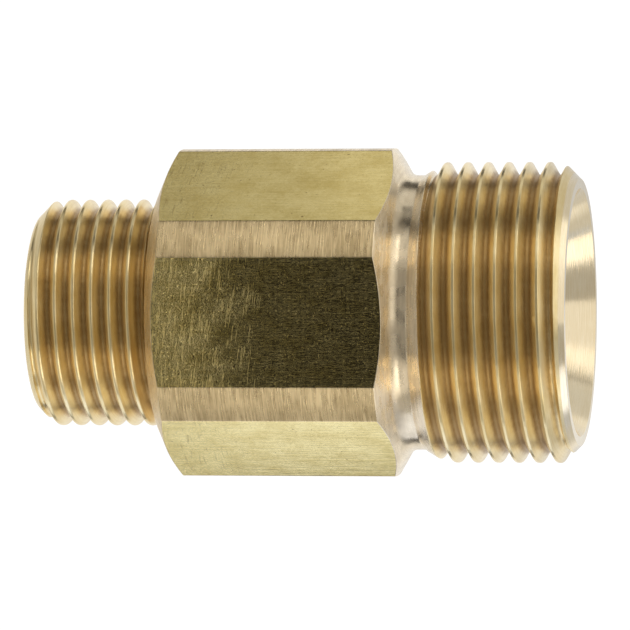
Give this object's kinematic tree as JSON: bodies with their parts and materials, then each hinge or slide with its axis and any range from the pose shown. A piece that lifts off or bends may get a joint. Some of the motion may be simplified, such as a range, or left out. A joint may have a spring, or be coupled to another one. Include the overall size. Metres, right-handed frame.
{
  "type": "hex nipple",
  "caption": "Reducing hex nipple of turned brass: parallel male thread on each end, hexagon between, conical seat and stem socket in the larger end, waterway through.",
  "frame": {"origin": "on the axis, halfway between the two ends", "axes": "+X along the axis towards the M22x1.5 end, +Z square to a flat of the hexagon, so that the part lies on the opposite flat; +Y completes a right-handed frame"},
  "size_m": [0.0398, 0.0238, 0.022],
  "materials": {
    "turned_brass": "bright turned and drawn brass, uncoated: drawn flats with fine lengthwise lines, turned surfaces with fine rings"
  },
  "bodies": {
    "root": {"nipple_body": "turned_brass"}
  },
  "joints": []
}
